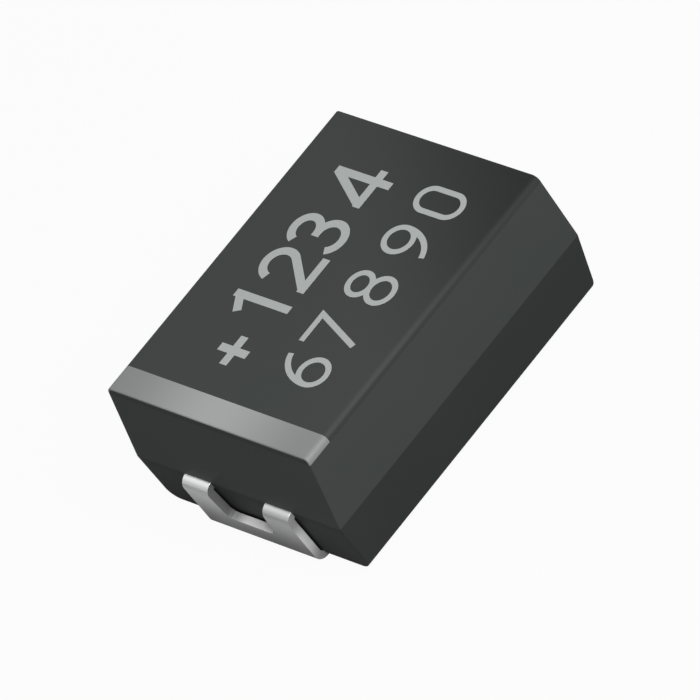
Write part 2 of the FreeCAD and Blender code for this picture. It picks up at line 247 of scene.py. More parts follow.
def sheet_solid(front, back, present=None):
    """Close the space between two like grids of points, over the cells that are present.

    The front cells and the turned-over back cells are the two faces. Wherever a cell that is
    present has no neighbour on one side, a strip from the front to the back closes that side.
    """
    rows, columns = front.shape[:2]
    upper = numbered((rows, columns))
    lower = upper + rows * columns
    here = np.ones((rows - 1, columns - 1), bool) if present is None else present
    ringed = np.pad(here, 1)
    faces = [grid_faces(upper)[here.ravel()][:, ::-1], grid_faces(lower)[here.ravel()]]
    fore, aft = slice(None, -1), slice(1, None)
    sides = (
        (ringed[1:-1, :-2], (fore, fore), (aft, fore)),
        (ringed[1:-1, 2:], (aft, aft), (fore, aft)),
        (ringed[:-2, 1:-1], (fore, aft), (fore, fore)),
        (ringed[2:, 1:-1], (aft, fore), (aft, aft)),
    )
    for neighbour, first, last in sides:
        edge = here & ~neighbour
        a, b = upper[first][edge], upper[last][edge]
        c, d = lower[last][edge], lower[first][edge]
        faces.append(np.stack((b, a, d, c), axis=-1))
    return np.concatenate((front.reshape(-1, 3), back.reshape(-1, 3))), np.concatenate(faces)


class Path:
    """Straight runs and tangent arcs through corners in a plane."""

    def __init__(self, corners, radii):
        """Work out each piece's length, bend, heading and start.

        A run stops short of a round corner by radius * tan(turn / 2), and the arc there is
        radius * turn long and bends by 1 / radius for each metre.
        """
        corners = np.array(corners, float)
        radii = np.array(radii, float)
        steps = np.diff(corners, axis=0)
        heading = np.unwrap(np.arctan2(steps[:, 1], steps[:, 0]))
        turn = np.diff(heading)
        trim = np.concatenate(([0.0], radii * np.tan(np.abs(turn) / 2), [0.0]))
        self.lengths = np.zeros(2 * len(steps) - 1)
        self.bends = np.zeros_like(self.lengths)
        self.lengths[::2] = np.hypot(*steps.T) - trim[:-1] - trim[1:]
        self.lengths[1::2] = radii * np.abs(turn)
        self.bends[1::2] = np.sign(turn) / np.maximum(radii, SAME_PLACE)
        turned = np.zeros_like(self.lengths)
        turned[1::2] = turn
        self.headings = heading[0] + np.concatenate(([0.0], np.cumsum(turned)[:-1]))
        self.ends = np.cumsum(self.lengths)
        self.starts = self.ends - self.lengths
        moves = self.move(np.arange(len(self.lengths)), self.lengths)
        self.points = corners[0] + np.concatenate((np.zeros((1, 2)), np.cumsum(moves, axis=0)))[:-1]

    def move(self, piece, distance):
        """Way covered from a piece's start.

        With heading h and bend b the way after d is d * sin(b d / 2) / (b d / 2), in the
        direction h + b d / 2. A straight run is the case b = 0.
        """
        half = self.bends[piece] * distance / 2
        middle = self.headings[piece] + half
        return (distance * np.sinc(half / np.pi))[:, None] * np.stack(
            (np.cos(middle), np.sin(middle)), axis=-1)

    def at(self, distance):
        """Points, and normals to the left of the way, at distances from the path's start."""
        piece = np.clip(np.searchsorted(self.ends, distance), 0, len(self.ends) - 1)
        local = distance - self.starts[piece]
        heading = self.headings[piece] + self.bends[piece] * local
        normals = np.stack((-np.sin(heading), np.cos(heading)), axis=-1)
        return self.points[piece] + self.move(piece, local), normals

    def stops(self, per_run, per_arc, extra=()):
        """Distances at which the path is sampled, with any extra ones."""
        counts = np.where(self.bends == 0, per_run, per_arc)
        pieces = [np.linspace(start, end, count + 1)
                  for start, end, count in zip(self.starts, self.ends, counts)]
        return np.unique(np.round(np.concatenate(pieces + [np.ravel(extra)]), ROUNDING))


# Case

SEAT_DRAFT = 0.01 * MM
STEP_DRAFT = 0.003 * MM
ARC_STEPS = 12
END_STEPS = 6
SIDE_STEPS = 4
COLUMN_STEPS = 6
MIDDLE_STEPS = 16

# Pieces of the half section's path, but for the sharp corner at the parting line
BOTTOM, LOW_EDGE, LOW_SIDE, HIGH_SIDE, TOP_EDGE, TOP = 0, 1, 2, 4, 5, 6


def ring_of(right, left):
    """One half's rows and then the other's, back to the start, with both end rows once."""
    return np.concatenate((right, left[-2:0:-1]))


class CaseForm:
    """Half section of the case, its end slopes, and where its band and seats lie."""

    def __init__(self, case, band):
        """Read the sizes, and sample the half section from the bottom's middle to the top's."""
        low, top = CASE_LOW.z, CASE_HIGH.z
        upper, lower = top - case.parting_height, case.parting_height - low
        slope = math.tan(case.side_draft)
        self.case, self.depth, self.low = case, band.depth, low
        corners = (
            (0.0, low),
            (CASE_HIGH.y - lower * slope, low),
            (CASE_HIGH.y, case.parting_height),
            (CASE_HIGH.y - upper * slope, top),
            (0.0, top),
        )
        path = Path(corners, (case.bottom_radius, 0.0, case.top_radius))
        starts, ends = path.starts, path.ends
        seat = case.seat_half_width
        bottom = np.concatenate((np.linspace(0.0, seat, COLUMN_STEPS + 1),
                                 np.linspace(seat + SEAT_DRAFT, ends[BOTTOM], COLUMN_STEPS)))
        ledge = starts[HIGH_SIDE] + (BAND_LOW.z - case.parting_height) / math.cos(case.side_draft)
        side = np.unique(np.concatenate((
            np.linspace(starts[LOW_EDGE], ends[LOW_EDGE], ARC_STEPS + 1),
            np.linspace(starts[LOW_SIDE], ends[LOW_SIDE], SIDE_STEPS + 1),
            np.linspace(starts[HIGH_SIDE], ledge, SIDE_STEPS + 1),
            [ledge + STEP_DRAFT],
            np.linspace(starts[TOP_EDGE], ends[TOP_EDGE], ARC_STEPS + 1))).round(ROUNDING))
        top_run = np.linspace(starts[TOP], ends[TOP], len(bottom))
        distance = np.concatenate((bottom[:-1], side, top_run[1:]))
        half, normals = path.at(distance)
        mirror = np.array((-1.0, 1.0))
        banded = distance > ledge + STEP_DRAFT / 2
        seated = distance < seat + SEAT_DRAFT / 2
        self.ring = ring_of(half, half * mirror)
        self.outward = -ring_of(normals, normals * mirror)
        self.columns, self.rows = len(bottom), len(side)
        self.banded = ring_of(banded, banded)
        self.seated = ring_of(seated, seated)

    def half_length(self, z):
        """Half length at a height: it falls off from the parting line by each end's draft."""
        above = z - self.case.parting_height
        slope = np.where(above > 0, math.tan(self.case.upper_end_draft),
                         math.tan(self.case.lower_end_draft))
        return CASE_HIGH.x - np.abs(above) * slope

    def stations(self, places):
        """Stations along X: the anode end's rounding, the given places, the cathode end's.

        In a rounding, at each turn t of its quarter circle, the section is smaller by
        r (1 - cos t) all round and lies r (1 - sin t) from the sloped end. Each station is
        (side, distance from the end, x, shrinkage).
        """
        radius = self.case.end_radius
        turn = np.linspace(math.pi / 2, 0.0, END_STEPS + 1)
        end = np.stack((np.ones_like(turn), radius * (1 - np.sin(turn)), 0 * turn,
                        radius * (1 - np.cos(turn))))
        places = np.array(places)
        middle = np.stack((0 * places, 0 * places, places, 0 * places))
        anode = end * np.array((-1.0, 1.0, 1.0, 1.0))[:, None]
        return np.concatenate((anode, middle, end[:, ::-1]), axis=1)

    def points(self, stations, sunk=0.0, raised=0.0):
        """Points of the sections at the stations: each ring point moves in along its normal."""
        side, back, x, shrunk = stations[:, :, None]
        y = self.ring[:, 0] - self.outward[:, 0] * (shrunk + sunk)
        z = self.ring[:, 1] - self.outward[:, 1] * (shrunk + sunk) + raised
        x = side * (self.half_length(z) - back) + x
        return np.stack((x, y, z), axis=-1)

    def end_grid(self, ring, side):
        """Grid that closes one end, between the section's bottom, top and two sides.

        Across, a row is the section's own width at that row. Upwards, a column runs from the
        section's bottom at that column to the parting line, and on with the rows. Every point
        then goes to the sloped end at its own height.
        """
        n, m = self.columns, self.rows
        bottom = np.concatenate((ring[-1:-n:-1][::-1], ring[:n]))
        right = ring[n - 1:n - 1 + m]
        top = ring[n + m - 2:n + m - 2 + 2 * n - 1][::-1]
        share_up = np.linspace(0.0, 1.0, m)[:, None]
        across = ((1 - share_up) * bottom[:, 1] / bottom[-1, 1] + share_up * top[:, 1] / top[-1, 1])
        y = right[:, 1][:, None] * across
        z = np.repeat(right[:, 2][:, None], 2 * n - 1, axis=1)
        parting = self.case.parting_height
        start = bottom[:, 2]
        floor = bottom[-1, 2]
        lifted = start + (z - floor) * (parting - start) / (parting - floor)
        z = np.where(z < parting, lifted, z)
        return np.stack((side * self.half_length(z), y, z), axis=-1)


def mould_case(form):
    """Case surface: the rounded section carried along X, stepped for the band and the seats."""
    band_edge = BAND_HIGH.x
    seat = form.case.seat_start
    reach = form.half_length(np.array(form.low)) - 2 * form.case.end_radius
    places = np.concatenate((
        [-reach, band_edge, band_edge + STEP_DRAFT, -seat - SEAT_DRAFT],
        np.linspace(-seat, seat, MIDDLE_STEPS + 1),
        [seat + SEAT_DRAFT, reach]))
    x = np.concatenate((np.full(END_STEPS + 1, -reach), places, np.full(END_STEPS + 1, reach)))
    in_band = (x < band_edge + STEP_DRAFT / 2)[:, None]
    in_seat = (np.abs(x) > seat + SEAT_DRAFT / 2)[:, None]
    points = form.points(form.stations(places), sunk=form.depth * (in_band & form.banded),
                         raised=(form.case.seat_height - form.low) * (in_seat & form.seated))
    index = numbered(points.shape[:2])
    shapes = [(points.reshape(-1, 3), grid_faces(np.hstack((index, index[:, :1]))))]
    for side, ring in ((-1, points[0]), (1, points[-1])):
        grid = form.end_grid(ring, side)
        shapes.append((grid.reshape(-1, 3), grid_faces(numbered(grid.shape[:2]))[:, ::side]))
    return join(shapes)


def mark_band(form):
    """Band: the layer between the case's own surface and the same surface sunk by its depth."""
    stations = form.stations(())[:, :END_STEPS + 1]
    edge = np.array(((0.0,), (0.0,), (BAND_HIGH.x,), (0.0,)))
    stations = np.concatenate((stations, edge), axis=1)
    front = form.points(stations)[:, form.banded]
    back = form.points(stations, sunk=form.depth)[:, form.banded]
    return sheet_solid(front[:, ::-1], back[:, ::-1])


# Terminals

LEG_STEPS = 8
CUT_STEPS = 14
PATTERN_CELLS = 2 * LEG_STEPS + CUT_STEPS
BEND_STEPS = 14
RUN_STEPS = 6
RISER_GAP = 0.12 * MM
EDGE_SEGMENTS = 2
SHEARED_ANGLE = math.radians(50)

# The leg's place among the pieces of the anode terminal's path
LEG = 2


def fold_sheet(path, distance, half_width, inner, present, sheet):
    """Flat pattern bent along a path in the XZ plane, given its thickness.

    A row of the pattern is at one distance along the path. Its columns run from edge to edge,
    with breaks at the inner half width on both sides, which follows the cut-out's outline.
    """
    outer = np.linspace(0.0, 1.0, LEG_STEPS + 1)
    leg = inner[:, None] + outer * (half_width - inner)[:, None]
    middle = np.linspace(-1.0, 1.0, CUT_STEPS + 1)[1:-1] * inner[:, None]
    across = np.concatenate((-leg[:, ::-1], middle, leg), axis=1)
    points, normals = path.at(distance)
    sides = []
    for offset in (sheet / 2, -sheet / 2):
        place = np.broadcast_to((points + normals * offset)[:, None], (*across.shape, 2))
        sides.append(np.stack((place[..., 0], across, place[..., 1]), axis=-1))
    return sheet_solid(*sides, present)


def sheared_faces(points, faces):
    """Faces of a folded sheet that join its front to its back: the cut edges of the sheet."""
    is_front = faces < len(points) // 2
    return is_front.any(axis=1) & ~is_front.all(axis=1)


def leg_places(case, terminal):
    """Heights of the sheet at the parting line and in the foot, and places along X.

    The places are the leg's top, its foot and the end of the foot, out from the middle.
    """
    low = terminal.sheet / 2
    level = case.parting_height - low
    top = CASE_HIGH.x + terminal.leg_gap + low
    foot = top - (level - low) * math.tan(case.lower_end_draft)
    return level, low, top, foot, foot + low - terminal.foot_length


def fold_anode(case, terminal):
    """Anode terminal: weld tab, plate, and two legs round a cut-out that ends above the foot."""
    level, low, top, foot, end = leg_places(case, terminal)
    path = Path(((ANODE_HIGH.x, level), (-top, level), (-foot, low), (-end, low)),
                (terminal.upper_bend, terminal.lower_bend))
    tab_length = ANODE_HIGH.x - (terminal.plate_depth + CASE_LOW.x)
    slot_start = ANODE_HIGH.x - (terminal.slot_run_in + CASE_LOW.x)
    leg_slope = math.cos(math.atan2(top - foot, level - low))
    leg_end = path.ends[LEG]
    foot_of_leg = path.at(np.array([leg_end]))[0][0, 1]
    taper_start = leg_end - (level - low - foot_of_leg) / leg_slope
    taper = math.atan2((terminal.slot_width - terminal.slot_floor_width) / 2,
                       level - low - terminal.slot_floor)
    turn = np.linspace(0.0, math.pi / 2 - taper, BEND_STEPS + 1)
    radius = terminal.slot_radius
    corner_height = terminal.slot_floor + radius * (1 - np.cos(turn))
    corner = leg_end - (corner_height - foot_of_leg) / leg_slope
    distance = path.stops(RUN_STEPS, BEND_STEPS, np.concatenate(
        ([tab_length, slot_start, taper_start], corner)))
    slot_half, floor_half = terminal.slot_width / 2, terminal.slot_floor_width / 2
    flat_half = floor_half - radius * math.tan(math.pi / 4 - taper / 2)
    known = np.concatenate(([0.0, tab_length, slot_start, taper_start], corner[::-1],
                            [path.ends[-1]]))
    widths = np.concatenate(([terminal.tab_width / 2] * 2, [slot_half] * 2,
                             (flat_half + radius * np.sin(turn))[::-1], [flat_half]))
    inner = np.interp(distance, known, widths)
    half_width = np.full_like(inner, ANODE_HIGH.y)
    middle = (distance[1:] + distance[:-1])[:, None] / 2
    cells = np.arange(PATTERN_CELLS)
    between = (cells >= LEG_STEPS) & (cells < LEG_STEPS + CUT_STEPS)
    in_tab = middle < tab_length
    in_slot = (middle > slot_start) & (middle < corner[0])
    present = np.where(between, ~in_slot, ~in_tab)
    return fold_sheet(path, distance, half_width, inner, present, terminal.sheet)


def fold_cathode(case, terminal):
    """Cathode terminal: seat of the anode block, riser, and one plain leg with its foot."""
    low_corner, high_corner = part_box("cathode_terminal")
    level, low, top, foot, end = leg_places(case, terminal)
    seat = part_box("silver_adhesive")[0].z - low
    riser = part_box("silver_coat")[1].x + RISER_GAP + low
    path = Path(((low_corner.x, seat), (riser, seat), (riser, level), (top, level),
                 (foot, low), (end, low)),
                (terminal.inner_bend,) * 2 + (terminal.upper_bend, terminal.lower_bend))
    distance = path.stops(RUN_STEPS, BEND_STEPS)
    half_width = np.full_like(distance, high_corner.y)
    present = np.ones((len(distance) - 1, PATTERN_CELLS), bool)
    return fold_sheet(path, distance, half_width, half_width / 2, present, terminal.sheet)


# Marking

CURVE_STEPS = 28

# Each further stroke of a mark is lower by this share
STROKE_STEP = 0.12
MARK_ROOT = 0.004 * MM

# Digits, in shares of their height; x is counted from a digit's middle
ZERO_HALF = 0.29
DIGIT_HALF = 0.31
ONE_STEM = 0.08
FLAG_REACH = 0.27
FLAG_HEIGHT = 0.76
TWO_TURN = (165, -38)
UPPER_BOWL = 0.235
WAIST = -0.06
LOWER_TURN = (90, -158)
UPPER_TURN = (158, -90)
THREE_TAPER = 0.93
EIGHT_TAPER = 0.9
FOUR_BAR = 0.27
FOUR_OVERHANG = 0.06
FOUR_STEM = 0.11
SIX_BOWL = 0.31
SIX_CENTRE = 1.05
SIX_REACH = 2.05
SIX_TURN = (180, 98)
SEVEN_FOOT = -0.1
PLUS_HALF = 0.5

# Where a stroke meets another's edge, in shares of the line width
FLAG_TRIM = 0.62
SLOPE_TRIM = 0.42
STEM_TRIM = 0.1
PEAK_TRIM = 0.35


def arc(centre, radii, first, last):
    """Centre line along an ellipse, from one angle in degrees to another."""
    turn = np.radians(np.linspace(first, last, CURVE_STEPS + 1))
    return np.array(centre) + np.array(radii) * np.stack((np.cos(turn), np.sin(turn)), axis=-1)


def stroke(*parts, closed=False):
    """Centre line through points and arcs in turn, and whether it runs back to its start."""
    return np.concatenate([np.reshape(part, (-1, 2)) for part in parts]).astype(float), closed


def oval(centre, radii):
    """Closed ellipse."""
    return stroke(arc(centre, radii, 0, 360)[:-1], closed=True)


def bowls(weight):
    """Half heights of a digit's lower and upper bowl, which share the line at its waist."""
    upper = (1 - weight) * UPPER_BOWL
    return (1 - weight) / 2 - upper, upper


def zero(weight):
    """Two half circles joined by straight sides."""
    edge = weight / 2
    half = ZERO_HALF - edge
    return [stroke(arc((0, 1 - edge - half), (half, half), 0, 180),
                   arc((0, edge + half), (half, half), 180, 360), closed=True)]


def one(weight):
    """Upright with a flag."""
    return [stroke((ONE_STEM, 0), (ONE_STEM, 1)),
            stroke((ONE_STEM - FLAG_REACH, FLAG_HEIGHT), (ONE_STEM, 1 - FLAG_TRIM * weight))]


def two(weight):
    """Arch that runs into a slope, on a base."""
    edge = weight / 2
    half = DIGIT_HALF - edge
    return [stroke((-DIGIT_HALF, edge), (DIGIT_HALF, edge)),
            stroke(arc((0, 1 - edge - half), (half, half), *TWO_TURN),
                   (-DIGIT_HALF + SLOPE_TRIM * weight, edge))]


def three(weight):
    """Two bowls that meet at the waist."""
    edge = weight / 2
    half = DIGIT_HALF - edge
    lower, upper = bowls(weight)
    waist = (WAIST, edge + 2 * lower)
    return [stroke(waist, arc((0, edge + lower), (half, lower), *LOWER_TURN)),
            stroke(arc((0, 1 - edge - upper), (half * THREE_TAPER, upper), *UPPER_TURN), waist)]


def four(weight):
    """Upright, bar and slope."""
    left = -DIGIT_HALF - FOUR_OVERHANG
    return [stroke((FOUR_STEM, 0), (FOUR_STEM, 1)),
            stroke((left, FOUR_BAR), (DIGIT_HALF, FOUR_BAR)),
            stroke((left + SLOPE_TRIM * weight, FOUR_BAR),
                   (FOUR_STEM - STEM_TRIM * weight, 1 - PEAK_TRIM * weight))]


def six(weight):
    """Bowl with a curved back."""
    half, bowl = DIGIT_HALF - weight / 2, SIX_BOWL - weight / 2
    middle = weight / 2 + bowl
    return [oval((0, middle), (half, bowl)),
            stroke(arc((half * SIX_CENTRE, middle), (half * SIX_REACH, 1 - bowl - weight),
                       *SIX_TURN))]


def seven(weight):
    """Bar that turns into a slope."""
    level = 1 - weight / 2
    return [stroke((-DIGIT_HALF, level), (DIGIT_HALF - PEAK_TRIM * weight, level),
                   (SEVEN_FOOT, 0))]


def eight(weight):
    """Two rings that meet at the waist."""
    edge = weight / 2
    half = DIGIT_HALF - edge
    lower, upper = bowls(weight)
    return [oval((0, edge + lower), (half, lower)),
            oval((0, 1 - edge - upper), (half * EIGHT_TAPER, upper))]


def nine(weight):
    """Six, turned over."""
    return [(np.array((0.0, 1.0)) - points, closed) for points, closed in six(weight)]


def plus(weight):
    """Two crossed bars."""
    return [stroke((-PLUS_HALF, PLUS_HALF), (PLUS_HALF, PLUS_HALF)), stroke((0, 0), (0, 1))]


FIRST_ROW = ((one, -0.80), (two, 0.05), (three, 0.84), (four, 1.98))
SECOND_ROW = ((six, -1.64), (seven, -0.84), (eight, 0.20), (nine, 1.22), (zero, 2.12))
FIRST_BASE, SECOND_BASE = 0.14 * MM, -1.47 * MM
PLUS_PLACE = (-1.75 * MM, 0.24 * MM)
PLUS_SIZE = 0.62 * MM


def lay_stroke(points, closed, width, height, base):
    """Closed ribbon along a centre line, a flat-topped ridge in section.

    At each point the two edges lie out along the mean of the neighbouring normals, by half
    the width over the cosine of half the turn there, so that a sharp corner is mitred.
    """
    after = np.roll(points, -1, axis=0) - points
    if not closed:
        after[-1] = after[-2]
    after /= np.hypot(*after.T)[:, None]
    before = np.roll(after, 1, axis=0)
    if not closed:
        before[0] = after[0]
    mean = after + before
    mean /= np.hypot(*mean.T)[:, None]
    spread = (width / 2 / np.sum(mean * after, axis=1))[:, None]
    aside = np.stack((-mean[:, 1], mean[:, 0]), axis=-1) * spread
    left, right = points + aside, points - aside
    inset = (right - left) * (height / width)
    section = np.stack((left, right, right - inset, left + inset), axis=1)
    level = np.broadcast_to((base, base, base + height, base + height), section.shape[:2])
    solid = np.concatenate((section, level[:, :, None]), axis=-1)
    index = numbered(solid.shape[:2])
    round_index = np.hstack((index, index[:, :1]))
    if closed:
        return solid.reshape(-1, 3), grid_faces(np.vstack((round_index, round_index[:1])))[:, ::-1]
    ends = np.stack((index[0], index[-1, ::-1]))
    return solid.reshape(-1, 3), np.concatenate((grid_faces(round_index)[:, ::-1], ends))


def lay_mark(glyph, size, width, centre, marking):
    """One mark's strokes, each a little lower than the one before, so that they can cross."""
    shapes = []
    for order, (points, closed) in enumerate(glyph(width / size)):
        share_left = 1 - STROKE_STEP * order
        root = MARK_ROOT * share_left
        shapes.append(lay_stroke(np.array(centre) + points * size, closed, width,
                                 marking.relief * share_left + root, CASE_HIGH.z - root))
    return join(shapes)


def lay_row(glyphs, size, width, base, marking):
    """A row of marks as one shape."""
    return join([lay_mark(glyph, size, width, (x * MM, base), marking) for glyph, x in glyphs])


# Finishes

WHITE = (1.0, 1.0, 1.0)

# A Mix node's inputs between its factor and its colours, and its colour output
OTHER_MIX_INPUTS = (None,) * 5
MIX_COLOUR = 2

# Grain size, its relief, and how far the roughness wanders
EPOXY_GRAIN = (0.04 * MM, 0.0006 * MM, 0.06)
MARK_GRAIN = (0.03 * MM, 0.0004 * MM, 0.08)
TIN_GRAIN = (0.05 * MM, 0.0005 * MM, 0.05)
INNER_SPREAD = 0.08

EPOXY_SPECULAR = 0.06
EPOXY_PATCH = 2.6 * MM
PARTING_BLUR = 0.01 * MM

# Along X less Y, where painted shade darkens the top towards its far right corner; and down from
# the top
FAR_SPAN = (0.5 * MM, 6.0 * MM)
TOP_SPAN = (CASE_HIGH.z - 0.10 * MM, CASE_HIGH.z - 0.01 * MM)

# Painted highlight and painted shade along the top edges: places in the topmost part of the case,
# and their brightness
RIM_DEPTH = 0.15 * MM
RIM_PAINTED_LIGHTS = ((0.12, 0.80), (0.52, 0.80), (0.66, 1.06), (0.88, 1.06), (0.97, 1.0))

# Noise between which one tone of a patch turns into the other
PATCH_SPAN = (0.35, 0.65)

BAND_SPECULAR = 0.4
BAND_ROUGHNESS = 0.45
# Distance from the middle over which the band's painted sheen fades.
BAND_REACH = 2.1 * MM
MARK_SPECULAR = 0.3
MARK_ROUGHNESS = 0.55
MARK_SPECKLE = 0.82

# Heights, and places across, between which a terminal's tones, painted highlights and painted shade
# change
LOW_SHADE_SPAN = (0.2 * MM, 1.15 * MM)
BEND_SPAN = (1.12 * MM, 1.24 * MM)
CREST_SPAN = (1.26 * MM, 1.32 * MM)
SIDE_SPAN = (-0.9 * MM, 0.9 * MM)
EDGE_SPAN = (0.7 * MM, 1.1 * MM)
FOOT_SPAN = (0.1 * MM, 0.55 * MM)
# Across the cut-out's floor, where its painted highlight fades out towards the left end.
FLOOR_SPAN = (0.10 * MM, 0.50 * MM)
FLOOR_HALF_WIDTH = 0.47 * MM
CUT_HALF_WIDTH = 0.9 * MM

# Name, two tones, patch size, grain size and relief in millimetres, roughness, metal share
INNER_FINISHES = {
    "anode_pellet": ("sintered_tantalum", (0.13, 0.13, 0.14), (0.09, 0.09, 0.10),
                     0.3, 0.04, 0.006, 0.8, 0.3),
    "anode_wire": ("tantalum_wire", (0.42, 0.43, 0.46), (0.36, 0.37, 0.40),
                   0.5, 0.03, 0.001, 0.35, 1.0),
    "wire_washer": ("washer_plastic", (0.85, 0.85, 0.83), (0.80, 0.80, 0.78),
                    0.4, 0.05, 0.0005, 0.4, 0.0),
    "manganese_coat": ("manganese_oxide", (0.03, 0.026, 0.024), (0.02, 0.018, 0.017),
                       0.2, 0.03, 0.004, 0.85, 0.0),
    "carbon_coat": ("carbon_layer", (0.02, 0.02, 0.021), (0.012, 0.012, 0.012),
                    0.3, 0.04, 0.003, 0.75, 0.0),
    "silver_coat": ("silver_layer", (0.62, 0.62, 0.60), (0.50, 0.50, 0.48),
                    0.3, 0.03, 0.003, 0.5, 0.6),
    "silver_adhesive": ("silver_glue", (0.52, 0.52, 0.50), (0.42, 0.42, 0.40),
                        0.2, 0.03, 0.004, 0.55, 0.5),
}


def rgba(values):
    """A colour with full alpha."""
    return (*values, 1.0)


def grey(value):
    """A grey as a colour."""
    return (value,) * 3


def is_socket(value):
    """Whether a value is a node's output, and not a number or a colour."""
    return isinstance(value, bpy.types.NodeSocket)


def fill(made, *ordered, **named):
    """Give a node's inputs their values, in order or by name.

    A socket is linked to its input, and None leaves an input as it is.
    """
    pairs = list(zip(made.inputs, ordered))
    pairs += [(made.inputs[name.replace("_", " ")], value) for name, value in named.items()]
    for entry, value in pairs:
        if is_socket(value):
            made.id_data.links.new(value, entry)
        elif value is not None:
            entry.default_value = value
    return made


def node(tree, kind, *ordered, **named):
    """Add a shader node; a value that is named after no input is a setting of the node."""
    made = tree.nodes.new(kind)
    for name in [name for name in named if name.replace("_", " ") not in made.inputs]:
        setattr(made, name, named.pop(name))
    return fill(made, *ordered, **named)


def calculate(tree, operation, *values):
    """Result of a Math node."""
    return node(tree, "ShaderNodeMath", *values, operation=operation).outputs[0]


def mix_colours(tree, factor, first, second, blend_type="MIX"):
    """Mix of two colours, each a socket or a plain colour."""
    colours = [value if is_socket(value) else rgba(value) for value in (first, second)]
    return node(tree, "ShaderNodeMix", factor, *OTHER_MIX_INPUTS, *colours,
                data_type="RGBA", blend_type=blend_type).outputs[MIX_COLOUR]


def multiply_colours(tree, *colours):
    """Product of colours."""
    product = colours[0]
    for other in colours[1:]:
        product = mix_colours(tree, 1.0, product, other, "MULTIPLY")
    return product


def object_axis(tree, axis):
    """One axis of the object coordinates."""
    place = node(tree, "ShaderNodeTexCoord").outputs["Object"]
    return node(tree, "ShaderNodeSeparateXYZ", place).outputs[axis]


def object_noise(tree, size, detail, roughness):
    """Noise in object space, with features of about one size."""
    place = node(tree, "ShaderNodeTexCoord").outputs["Object"]
    return node(tree, "ShaderNodeTexNoise", Vector=place, Detail=detail, Roughness=roughness,
                Scale=calculate(tree, "DIVIDE", 1.0, size)).outputs["Fac"]


def new_group(name, inputs, outputs):
    """Start a node group; inputs are name and default, outputs name and kind."""
    tree = bpy.data.node_groups.new(name, "ShaderNodeTree")
    for label, default in inputs:
        kind = "NodeSocketColor" if isinstance(default, tuple) else "NodeSocketFloat"
        tree.interface.new_socket(label, in_out="INPUT", socket_type=kind).default_value = default
    for label, kind in outputs:
        tree.interface.new_socket(label, in_out="OUTPUT", socket_type=kind)
    return tree, tree.nodes.new("NodeGroupInput").outputs, tree.nodes.new("NodeGroupOutput")


def grain_group():
    """Fine grain of a moulded, sintered or plated surface.

    Detailed noise in object space. Value is from nought to one, and Height is the
    same in metres for a bump.
    """
    tree, given, result = new_group(
        "Fine grain", (("Grain size", 0.05 * MM), ("Relief", 0.001 * MM)),
        (("Value", "NodeSocketFloat"), ("Height", "NodeSocketFloat")))
    noise = object_noise(tree, given["Grain size"], detail=3.0, roughness=0.6)
    fill(result, Value=noise, Height=calculate(tree, "MULTIPLY", noise, given["Relief"]))
    return tree


def patches_group():
    """Two colours in soft patches: slow noise in object space mixes one into the other."""
    tree, given, result = new_group(
        "Soft patches",
        (("First colour", rgba(grey(0.5))), ("Second colour", rgba(grey(0.4))),
         ("Patch size", 2.0 * MM), ("Contrast", 1.0)),
        (("Color", "NodeSocketColor"),))
    noise = object_noise(tree, given["Patch size"], detail=2.0, roughness=0.4)
    spread = node(tree, "ShaderNodeMapRange", interpolation_type="SMOOTHSTEP", Value=noise,
                  From_Min=PATCH_SPAN[0], From_Max=PATCH_SPAN[1], To_Max=given["Contrast"])
    fill(result, Color=mix_colours(tree, spread.outputs["Result"], given["First colour"],
                                   given["Second colour"]))
    return tree


def step_group():
    """Smooth step from nought to one between two places along a coordinate."""
    tree, given, result = new_group(
        "Smooth step", (("Coordinate", 0.0), ("Start", 0.0), ("End", 1.0 * MM)),
        (("Value", "NodeSocketFloat"),))
    step = node(tree, "ShaderNodeMapRange", interpolation_type="SMOOTHSTEP",
                Value=given["Coordinate"], From_Min=given["Start"], From_Max=given["End"])
    fill(result, Value=step.outputs["Result"])
    return tree


GROUPS = {}


def place_group(tree, make, **values):
    """Put a node group into a material with its own values; each group is built once."""
    if make not in GROUPS:
        GROUPS[make] = make()
    return fill(node(tree, "ShaderNodeGroup", node_tree=GROUPS[make]), **values)


def ramp(tree, coordinate, start, end):
    """Smooth step along a coordinate."""
    return place_group(tree, step_group, Coordinate=coordinate, Start=start,
                       End=end).outputs["Value"]


def new_material(name, **shader):
    """Material with a Principled shader; its constant values are set on the shader itself."""
    material = bpy.data.materials.new(name)
    material.use_nodes = True
    tree = material.node_tree
    return material, tree, fill(tree.nodes["Principled BSDF"], **shader)


def add_grain(tree, principled, roughness, grain_size, relief, spread):
    """Grain in the surface: a bump, and a roughness that wanders round its mean."""
    grain = place_group(tree, grain_group, Grain_size=grain_size, Relief=relief).outputs
    bump = node(tree, "ShaderNodeBump", Distance=1.0, Height=grain["Height"])
    rough = node(tree, "ShaderNodeMapRange", Value=grain["Value"], To_Min=roughness - spread,
                 To_Max=roughness + spread)
    fill(principled, Normal=bump.outputs["Normal"], Roughness=rough.outputs["Result"])
    return grain["Value"]


